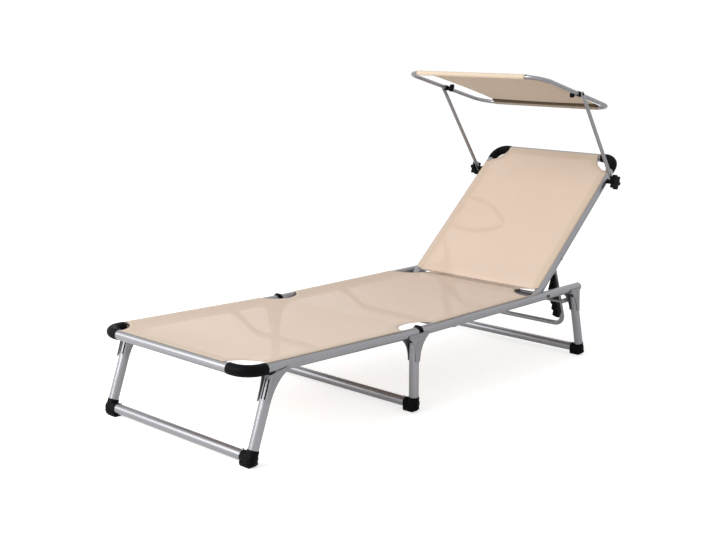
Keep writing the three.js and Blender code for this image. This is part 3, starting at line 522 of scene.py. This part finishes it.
# Backrest frame: two 28 mm rails between the seat rails, black corner sleeves and a top tube,
# turning on a dark steel axle that runs through all four rails, thicker between the backrest's.
recline = radians(41.7)
back_x = 0.2495
hinge = 0.662
back_length = 0.629
back_rail_start, rim_step, rim_share = -0.0155, 0.001, 0.93
back_corner_reach, back_corner_bend = 0.058, 0.042
plug_depth = 0.0147
axle_half = 0.2963
axle_rim, axle_head, axle_rod, axle_thick = 0.0042, 0.006, 0.004, 0.0065
rim_run, head_run, rod_run, thick_run = 0.0006, 0.0014, 0.0593, 0.4704
hinge_place = seat_place @ Matrix.Translation((0, hinge, -rail_drop))
back_place = hinge_place @ Matrix.Rotation(recline - seat_slope, 4, "X")
for side, hand in hands:
    rail = TubeRun((back_x, back_rail_start, 0), (0, 1, 0), tube_radius * rim_share)
    rail.push(rim_step, 1 / rim_share)
    rail.push(back_length - back_corner_reach + plug_depth - back_rail_start - rim_step)
    set_piece(rail.close(), f"rail_of_backrest_{hand}", back_place, satin_silver, "backrest",
              [f"backrest_rail_{hand}"], side)
    set_piece(corner_sleeve(back_x, back_length, -1, back_corner_reach, back_corner_bend),
              f"corner_of_backrest_{hand}", back_place, moulded_black, "backrest",
              [f"backrest_corner_{hand}"], side)
top_half = back_x - back_corner_reach + plug_depth
top_tube = TubeRun((-top_half, back_length, 0), (1, 0, 0), tube_radius).push(2 * top_half)
set_piece(top_tube.close(), "top_tube_of_backrest", back_place, satin_silver, "backrest",
          ["backrest_top_tube"])

dark_steel = Finish("dark_steel_axle", Metallic=0.75)
skin = dark_steel.noise(40, 3)
dark_steel.put("Base Color", dark_steel.blend(skin, (0.070, 0.068, 0.072), (0.11, 0.108, 0.112)))
dark_steel.put("Roughness", 0.42 + skin * 0.1)
axle = TubeRun((-axle_half, 0, 0), (1, 0, 0), axle_rim, 24).push(rim_run, axle_head / axle_rim)
axle.push(head_run).push(0, axle_rod / axle_head).push(rod_run).push(0, axle_thick / axle_rod)
axle.push(thick_run).push(0, axle_rod / axle_thick).push(rod_run).push(0, axle_head / axle_rod)
axle.push(head_run).push(rim_run, axle_rim / axle_head)
set_piece(axle.close(), "axle_of_backrest", hinge_place, dark_steel, "seat_frame",
          ["backrest_axle"])

# Support of the backrest: a bow of 16 mm tube with a black toothed rack on each leg. The teeth
# hook on a thin rod that is held in the brackets of the head-end legs.
lean = radians(22.4)
bow_pivot = 0.16
bow_radius, bow_rim, bow_rim_run = 0.008, 0.0062, 0.002
bow_gap, bow_top, bow_drop, bow_corner = 0.0014, 0.009, 0.268, 0.038
bow_x = back_x - tube_radius - bow_gap - bow_radius
pin_radius, pin_head, pin_head_step, pin_stand = 0.003, 0.005, 0.0010, 0.0003
rack_edge = 0.0024
rack_depth, tooth_depth, rack_top, notch_step, held_notch = 0.046, 0.009, 0.104, 0.025, 1.5
rod_half, rod_radius, rod_room = 0.2654, 0.005, 0.0053


def support_bow():
    """The bow from rim to rim, with the two pins that it turns on."""
    leg = bow_drop + bow_top - bow_rim_run - bow_corner
    bow = TubeRun((-bow_x, 0, bow_top), (0, 0, -1), bow_rim, 28)
    bow.push(bow_rim_run, bow_radius / bow_rim).push(leg)
    bow.bend(-pi / 2, (0, 1, 0), -bow_corner, 12).push(2 * (bow_x - bow_corner))
    bow.bend(-pi / 2, (0, 1, 0), -bow_corner, 12).push(leg).push(bow_rim_run, bow_rim / bow_radius)
    whole = bow.close()
    for side in (1, -1):
        pin = TubeRun((side * bow_x, 0, 0), (side, 0, 0), pin_radius, 16)
        pin.push(back_x + tube_radius + pin_stand - bow_x).push(0, pin_head / pin_radius)
        pin_form = pin.push(pin_head_step).push(pin_head_step, 0.8).close()
        part = bpy.data.meshes.new("pin")
        pin_form.to_mesh(part)
        pin_form.free()
        whole.from_mesh(part)
        bpy.data.meshes.remove(part)
    return whole


bow_place = back_place @ Matrix.Translation((0, bow_pivot, 0))
support_place = bow_place @ Matrix.Rotation(lean - recline, 4, "X")
set_piece(support_bow(), "bow_of_support", support_place, satin_silver, "support",
          ["support_bow"])
notch_y = tooth_depth - rack_depth - rod_room * sqrt(2)
rod_spot = support_place @ Vector((0, notch_y, -rack_top - held_notch * notch_step))
rod = TubeRun((-rod_half, 0, 0), (1, 0, 0), rod_radius, 24).push(2 * rod_half)
set_piece(rod.close(), "rod_for_racks", Matrix.Translation(rod_spot), plated_sheet, "seat_frame",
          ["rack_rod"])
for side, hand in hands:
    set_copy(f"rack_{hand}", f"toothed_rack_{hand}", rack_edge, moulded_black, "support",
             3)

# Bed of the lounger: one length of coated mesh from the foot end to the top of the backrest,
# with doubled hems along the rails, and cut away round the corners, the fold and the hinge.
# It is modelled in two lengths that meet in the middle of the seat, one for each joint it crosses.
mesh_pitch, hole_from = 0.0018, 0.55
hem_width, stitch_inset, stitch_half = 0.026, 0.0235, 0.0008
woven_mesh = Finish("woven_sling_mesh", Metallic=0.0, Sheen_Weight=0.15, Sheen_Roughness=0.5,
                    Specular_IOR_Level=0.25)


def cut_axes(finish):
    """A point's place across and along the flat cut piece, in metres."""
    cut = finish.add("ShaderNodeUVMap", {"uv_map": "cut"})
    return [finish.add("ShaderNodeSeparateXYZ", inputs={0: cut}, output=axis) for axis in "XY"]


def thread_wave(finish, place, pitch):
    return finish.maths("SINE", place * (2 * pi / pitch))


across, along = cut_axes(woven_mesh)
edge_gap = woven_mesh.mark("from_edge")
end_gap = woven_mesh.mark("from_end")
warp = thread_wave(woven_mesh, across, mesh_pitch)
weft = thread_wave(woven_mesh, along, mesh_pitch)
over = warp * weft * 0.5 + 0.5
hole = (warp > hole_from) * (weft > hole_from)
hem = woven_mesh.maths("MAXIMUM", edge_gap < hem_width, end_gap < hem_width)
stitch_gap = woven_mesh.maths("MINIMUM", edge_gap, end_gap) - stitch_inset
stitch_line = woven_mesh.maths("ABSOLUTE", stitch_gap) < stitch_half
fade = woven_mesh.noise(3.2, 3)
cream = woven_mesh.blend(fade, (0.72, 0.56, 0.448), (0.77, 0.605, 0.486))
threads = woven_mesh.blend(over * 0.30, cream, (0.62, 0.49, 0.39))
hemmed = woven_mesh.blend(hem * 0.75, threads, (0.57, 0.465, 0.36))
woven_mesh.put("Base Color", woven_mesh.blend(stitch_line * 0.35, hemmed, (0.45, 0.37, 0.29)))
woven_mesh.put("Roughness", 0.62 + over * 0.15)
woven_mesh.put("Alpha", 1 - (1 - hem * 0.8) * (0.14 + hole * 0.76))
woven_mesh.relief(over + hem * 2.0, 0.35, 0.0004)

sling_lift, sling_gauge = 0.0148, 0.0007
roll_edge = radians(18)
lap_bend = 0.030
sag_depth, end_ramp, hinge_ramp = 0.007, 0.18, 0.12
hinge_dip, hinge_dip_run, free_half, free_edge = 0.0078, 0.022, 0.242, 0.010
row_step, row_nudge, mesh_columns = 0.012, 0.0004, 56
middle_of_seat = 0.33

wrap = roll_edge * sling_lift
hinge_turn = recline - seat_slope
bend_start = hinge - (sling_lift + lap_bend) * tan(hinge_turn / 2)
bend_gain = 2 * (sling_lift + lap_bend) * tan(hinge_turn / 2) - lap_bend * hinge_turn
bed_top = hinge + back_length - bend_gain
lap = hinge - bend_gain / 2

# Each oval cut-out: its middle along the bed, its reach along it, its depth and its middle's x.
foot_cut = (-0.663, 0.080, 0.088, 0.292)
fold_cut = (0, 0.072, 0.060, 0.292)
seat_hinge_cut = (lap, 0.102, 0.107, 0.292)
back_hinge_cut = (lap, 0.005, 0.0765, 0.2615)
top_cut = (bed_top + 0.012, 0.088, 0.078, 0.2615)


def bed_station(s):
    """Place and slope of the mesh's middle line, s metres from the fold towards the head."""
    height = sling_lift - rail_drop
    if s < 0:
        return foot_place @ Vector((0, s, height)), foot_slope
    if s < bend_start:
        return seat_place @ Vector((0, s, height)), seat_slope
    angle = min(hinge_turn, (s - bend_start) / lap_bend)
    past = max(0.0, s - bend_start - lap_bend * hinge_turn)
    spot = Vector((0, bend_start, height + lap_bend))
    spot += Vector((0, sin(angle), -cos(angle))) * lap_bend
    spot += Vector((0, cos(hinge_turn), sin(hinge_turn))) * past
    return seat_place @ spot, seat_slope + angle


def half_width(s):
    """Half of the mesh's width at s, measured along its surface, less the cut-outs there."""
    width = (rail_x if s < lap else back_x) + wrap
    hinge_cut = seat_hinge_cut if s < lap else back_hinge_cut
    for middle, reach, depth, x in (foot_cut, fold_cut, hinge_cut, top_cut):
        share = (s - middle) / reach
        if abs(share) < 1:
            width = min(width, x - depth * sqrt(1 - share * share))
    return width


def mesh_rows(start, end, cuts):
    """Rows of the mesh between start and end, closer together round each cut-out's edge."""
    rows = {start, start + row_nudge, end - row_nudge, end}
    count = int((end - start) / row_step)
    rows.update(start + (end - start) * i / count for i in range(count + 1))
    for cut in cuts:
        for i in range(-12, 13):
            rows.add(cut[0] + cut[1] * sin(pi * i / 24) * 0.9999)
            rows.add(cut[0] + cut[1] * sin(pi * i / 24) * 1.0001)
    return sorted(s for s in rows if start <= s <= end)


def from_ends(s):
    return min(s + foot_length, bed_top - s)


def mesh_sag(s, q, rail):
    """How far the mesh gives between rails and ends, and where nothing holds it at the hinge."""
    ends = sin(pi / 2 * min(1, max(0, from_ends(s)) / end_ramp))
    past_hinge = sin(pi / 2 * min(1, abs(s - lap) / hinge_ramp)) ** 2
    between = max(0.0, 1 - (q / rail) ** 2)
    free = min(1, max(0, (free_half - abs(q)) / free_edge))
    dip = hinge_dip * free * exp(-((s - lap) / hinge_dip_run) ** 2)
    return sag_depth * ends * between * (0.25 + 0.75 * past_hinge) + dip


def mesh_spot(s, q):
    """The mesh's point s metres along from the fold and q metres across from its middle."""
    rail = rail_x if s < lap else back_x
    roll = max(0.0, abs(q) - rail) / sling_lift
    end_turn = max(0.0, -from_ends(s)) / sling_lift
    x = min(abs(q), rail) + sling_lift * sin(roll)
    drop = sling_lift * (2 - cos(roll) - cos(end_turn)) + mesh_sag(s, q, rail)
    shift = (-1 if s < 0 else 1) * sling_lift * sin(end_turn)
    spot, slope = bed_station(min(max(s, -foot_length), bed_top))
    heading = Vector((0, cos(slope), sin(slope)))
    normal = Vector((0, -sin(slope), cos(slope)))
    return spot + heading * shift - normal * drop + Vector((x if q > 0 else -x, 0, 0))


def keep_cut(form, layer, flat):
    """Notes on every corner where its point lay on the flat cut piece."""
    for face in form.faces:
        for loop in face.loops:
            loop[layer].uv = flat[loop.vert]


def give_gauge(piece, gauge):
    wall = piece.modifiers.new("thickness", "SOLIDIFY")
    wall.thickness = gauge
    wall.offset = 0


def stretch_mesh(name, start, end, cuts, nodes, end_wrap):
    rows = mesh_rows(start, end, cuts)
    form = bmesh.new()
    bmesh.ops.create_grid(form, x_segments=mesh_columns, y_segments=len(rows) - 1, size=0.5)
    cut_layer = form.loops.layers.uv.new("cut")
    edge_layer = form.verts.layers.float.new("from_edge")
    end_layer = form.verts.layers.float.new("from_end")
    flat = {}
    for vert in form.verts:
        row = rows[round((vert.co.y + 0.5) * (len(rows) - 1))]
        width = half_width(row)
        q = 2 * vert.co.x * width
        vert.co = mesh_spot(row, q)
        vert[edge_layer] = width - abs(q)
        vert[end_layer] = from_ends(row) + end_wrap
        flat[vert] = (q, row)
    keep_cut(form, cut_layer, flat)
    piece = set_piece(form, name, Matrix.Identity(4), woven_mesh, None, nodes,
                      recalc=False)
    give_gauge(piece, sling_gauge)
    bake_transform(piece)


stretch_mesh("mesh_of_foot_section_and_seat", -foot_length - wrap, middle_of_seat,
             (foot_cut, fold_cut),
             ["foot_sling", "seat_sling"], wrap)
stretch_mesh("mesh_of_seat_and_backrest", middle_of_seat, bed_top,
             (seat_hinge_cut, back_hinge_cut, top_cut),
             ["seat_sling", "backrest_sling"], 0)

# Carrying strap: a loop of 15 mm webbing behind the mesh, sewn to the right-hand side of the
# backrest, hanging a little free and turning over as it goes round.
strap_half, strap_gauge, strap_steps = 0.0075, 0.0014, 72
strap_depth, strap_swing, look_ahead = 0.0155, 0.004, 0.004
strap_points = [(-0.249, 0.387), (-0.205, 0.382), (-0.14, 0.362), (-0.085, 0.325), (-0.054, 0.288),
                (-0.058, 0.268), (-0.095, 0.250), (-0.15, 0.238), (-0.205, 0.237), (-0.249, 0.241)]
strap_webbing = Finish("strap_webbing", Metallic=0.0)
ribs = strap_webbing.noise(1500, 1, stretch=(1, 0.2, 1))
strap_webbing.put("Base Color", strap_webbing.blend(ribs, (0.20, 0.15, 0.115), (0.27, 0.21, 0.165)))
strap_webbing.put("Roughness", 0.85)
strap_webbing.relief(ribs, 0.3, 0.0005)


def strap_spot(share):
    """A point on the strap's middle line, by a smooth curve through its points."""
    spans = len(strap_points) - 1
    span = min(int(share * spans), spans - 1)
    t = share * spans - span
    near = [strap_points[min(max(span + i, 0), spans)] for i in (-1, 0, 1, 2)]
    weights = (-t ** 3 + 2 * t ** 2 - t, 3 * t ** 3 - 5 * t ** 2 + 2,
               -3 * t ** 3 + 4 * t ** 2 + t, t ** 3 - t ** 2)
    return Vector([sum(w * p[i] for w, p in zip(weights, near)) / 2 for i in (0, 1)])


strap_form = bmesh.new()
bmesh.ops.create_grid(strap_form, x_segments=strap_steps, y_segments=2, size=0.5)
for vert in strap_form.verts:
    share = vert.co.x + 0.5
    side_step = vert.co.y * 2
    ahead = strap_spot(min(1, share + look_ahead)) - strap_spot(max(0, share - look_ahead))
    sideways = Vector((-ahead.y, ahead.x)).normalized()
    flat_spot = strap_spot(share) + sideways * side_step * strap_half
    swing = strap_swing * (side_step * sin(2 * pi * share) - sin(pi * share))
    vert.co = Vector((flat_spot.x, flat_spot.y, swing - strap_depth))
strap = set_piece(strap_form, "carrying_strap", back_place, strap_webbing, "backrest",
                  ["carry_strap"], recalc=False)
give_gauge(strap, strap_gauge)

# Canopy arms: thin silver tubes flattened into an eye at each end, clamped outside the backrest
# by black star knobs.
arm_x, arm_length, arm_angle, arm_pivot = 0.283, 0.3842, radians(128.66), 0.522
arm_radius, arm_shoulder, arm_tip, arm_overhang = 0.0064, 0.0052, 0.0032, 0.0085
tip_run, shoulder_run, eye_run, taper_run = 0.0022, 0.0033, 0.032, 0.010
flat_reach, flat_taper, flat_thinner, flat_wider = 0.040, 0.012, 0.61, 0.32
star_edge = 0.0013
pivot_place = back_place @ Matrix.Translation((0, arm_pivot, 0))
arm_place = pivot_place @ Matrix.Rotation(arm_angle - recline, 4, "X")


def canopy_arm():
    """A straight tube with rounded ends, pressed flat where the bolts go through."""
    plain_run = arm_length + 2 * (arm_overhang - tip_run - shoulder_run - eye_run - taper_run)
    arm = TubeRun((arm_x, -arm_overhang, 0), (0, 1, 0), arm_tip, 24)
    arm.push(tip_run, arm_shoulder / arm_tip).push(shoulder_run, arm_radius / arm_shoulder)
    arm.push(eye_run).push(taper_run).push(plain_run).push(taper_run).push(eye_run)
    arm.push(shoulder_run, arm_shoulder / arm_radius).push(tip_run, arm_tip / arm_shoulder)
    form = arm.close()
    for vert in form.verts:
        end_run = min(vert.co.y, arm_length - vert.co.y)
        flatness = min(1, max(0, (flat_reach - end_run) / flat_taper))
        vert.co.x = arm_x + (vert.co.x - arm_x) * (1 - flat_thinner * flatness)
        vert.co.z = vert.co.z * (1 + flat_wider * flatness)
    return form


for side, hand in hands:
    set_piece(canopy_arm(), f"arm_of_canopy_{hand}", arm_place, satin_silver, "canopy_arms",
              [f"canopy_arm_{hand}"], side)
    set_copy(f"star_knob_{hand}", f"star_knob_of_arm_{hand}", star_edge, moulded_black,
             f"star_{hand}", 3)

# Canopy frame: two U-shaped halves of thin tube, the rear half plugged into the front half. The
# bolts of the wing knobs go through its side tubes, a clip and the eyes of the arms.
canopy_angle = radians(-12.2)
front_y, rear_y = -0.240, 0.235
joint_y, joint_gap = 0.040, 0.00015
frame_x, frame_radius, corner_bend = 0.2696, 0.0067, 0.067
clip_edge, wing_edge = 0.0004, 0.0012
wing_place = arm_place @ Matrix.Translation((0, arm_length, 0))
canopy_place = wing_place @ Matrix.Rotation(canopy_angle - arm_angle, 4, "X")


def canopy_u(end_y, direction):
    start = joint_y + direction * joint_gap
    run = abs(end_y - start) - corner_bend
    u = TubeRun((frame_x, start, 0), (0, direction, 0), frame_radius, 28).push(run)
    u.bend(direction * pi / 2, (0, 0, 1), direction * corner_bend, 14)
    u.push(2 * (frame_x - corner_bend))
    return u.bend(direction * pi / 2, (0, 0, 1), direction * corner_bend, 14).push(run).close()


set_piece(canopy_u(front_y, -1), "front_half_of_canopy_frame", canopy_place, satin_silver, "canopy",
          ["canopy_frame_front"])
set_piece(canopy_u(rear_y, 1), "rear_half_of_canopy_frame", canopy_place, satin_silver, "canopy",
          ["canopy_frame_rear"])
for side, hand in hands:
    set_copy(f"canopy_clip_{hand}", f"clip_of_canopy_{hand}", clip_edge, moulded_black, "canopy")
    set_copy(f"wing_knob_{hand}", f"wing_knob_of_canopy_{hand}", wing_edge, moulded_black,
             f"wing_{hand}", 3)

# Canopy cloth: plain woven cloth with a sewn sleeve round the front and the rear tube, pulled
# tight so that its free side edges curve in a little and stand up, and sagging in the middle. On
# the underside, a dark band of painted shade lies on the rear sleeve's seam, where its crease is
# in shadow.
cloth_half, edge_curve, cloth_gauge, cloth_columns = 0.214, 0.003, 0.0007, 48
sag_middle, sag_edge = 0.009, 0.012
yarn = 0.0012
sleeve_radius, hem_run, seam_dip = 0.0078, 0.024, 0.0014
around = pi * 0.93
plain_cloth = Finish("plain_canopy_cloth", Metallic=0.0, Sheen_Weight=0.2, Sheen_Roughness=0.5,
                     Specular_IOR_Level=0.2)
cloth_across, cloth_along = cut_axes(plain_cloth)
cloth_warp = thread_wave(plain_cloth, cloth_across, yarn)
weave = cloth_warp * thread_wave(plain_cloth, cloth_along, yarn) * 0.5 + 0.5
light_cloth = plain_cloth.blend(plain_cloth.noise(5, 3), (0.64, 0.52, 0.40), (0.70, 0.575, 0.45))
woven_cloth = plain_cloth.blend(weave * 0.25, light_cloth, (0.54, 0.43, 0.33))
# Painted shade: the rear seam's band is coloured dark brown in place of the shadow in the sleeve's
# crease.
painted_sleeve_shade = plain_cloth.mark("rear_sleeve_shade")
plain_cloth.put("Base Color", plain_cloth.blend(painted_sleeve_shade, woven_cloth, (0.09, 0.065, 0.035)))
plain_cloth.put("Roughness", 0.85)
plain_cloth.relief(weave, 0.3, 0.0003)


def cloth_rows():
    """The cloth's run from the front seam, round the front tube, over, and round the rear tube."""
    rows = [("front seam", 0.0)]
    for part, steps in (("front seam", 4), ("front round", 12), ("over", 40), ("rear round", 12),
                        ("rear seam", 4)):
        rows.extend((part, (i + 1) / steps) for i in range(steps))
    return rows


def between(first, second, share):
    return tuple(a + (b - a) * share for a, b in zip(first, second))


def cloth_spot(part, share):
    """Where the cloth's run is in the canopy's own Y and Z, and its place between the tubes."""
    tuck, under = sleeve_radius * sin(around), sleeve_radius * cos(around)
    seam_height = sleeve_radius - seam_dip
    if part == "front seam":
        seam = between((front_y + hem_run, seam_height), (front_y - tuck, under), share)
        return (*seam, front_y + hem_run * (1 - share))
    if part == "front round":
        angle = around * (1 - share)
        return (front_y - sleeve_radius * sin(angle), sleeve_radius * cos(angle), front_y)
    if part == "over":
        y = front_y + (rear_y - front_y) * share
        return (y, sleeve_radius, y)
    if part == "rear round":
        angle = around * share
        return (rear_y + sleeve_radius * sin(angle), sleeve_radius * cos(angle), rear_y)
    seam = between((rear_y + tuck, under), (rear_y - hem_run, seam_height), share)
    return (*seam, rear_y - hem_run * share)


cloth_run = cloth_rows()
cloth_form = bmesh.new()
bmesh.ops.create_grid(cloth_form, x_segments=cloth_columns, y_segments=len(cloth_run) - 1,
                      size=0.5)
cloth_cut = cloth_form.loops.layers.uv.new("cut")
# Painted shade of the rear sleeve's seam, kept for each point.
sleeve_shade_layer = cloth_form.verts.layers.float.new("rear_sleeve_shade")
flat_run = [0.0]
for here, following in zip(cloth_run, cloth_run[1:]):
    a, b = cloth_spot(*here), cloth_spot(*following)
    flat_run.append(flat_run[-1] + hypot(a[0] - b[0], a[1] - b[1]))
laid = {}
for vert in cloth_form.verts:
    row = round((vert.co.y + 0.5) * (len(cloth_run) - 1))
    part, share = cloth_run[row]
    y, z, station = cloth_spot(part, share)
    middle = max(0.0, 1 - ((2 * station - front_y - rear_y) / (rear_y - front_y)) ** 2)
    u = 2 * vert.co.x
    x = u * (cloth_half - edge_curve * middle)
    if part == "over":
        z -= middle * (sag_middle - sag_edge * u * u)
    vert.co = Vector((x, y, z))
    laid[vert] = (x, flat_run[row])
    # Painted shade along the rear seam: none for its first quarter, rising to full at half way
    # along it.
    vert[sleeve_shade_layer] = min(1, max(0, share * 4 - 1)) if part == "rear seam" else 0
keep_cut(cloth_form, cloth_cut, laid)
cover = set_piece(cloth_form, "cloth_of_canopy", canopy_place, plain_cloth, "canopy",
                  ["canopy_cloth"], recalc=False)
give_gauge(cover, cloth_gauge)
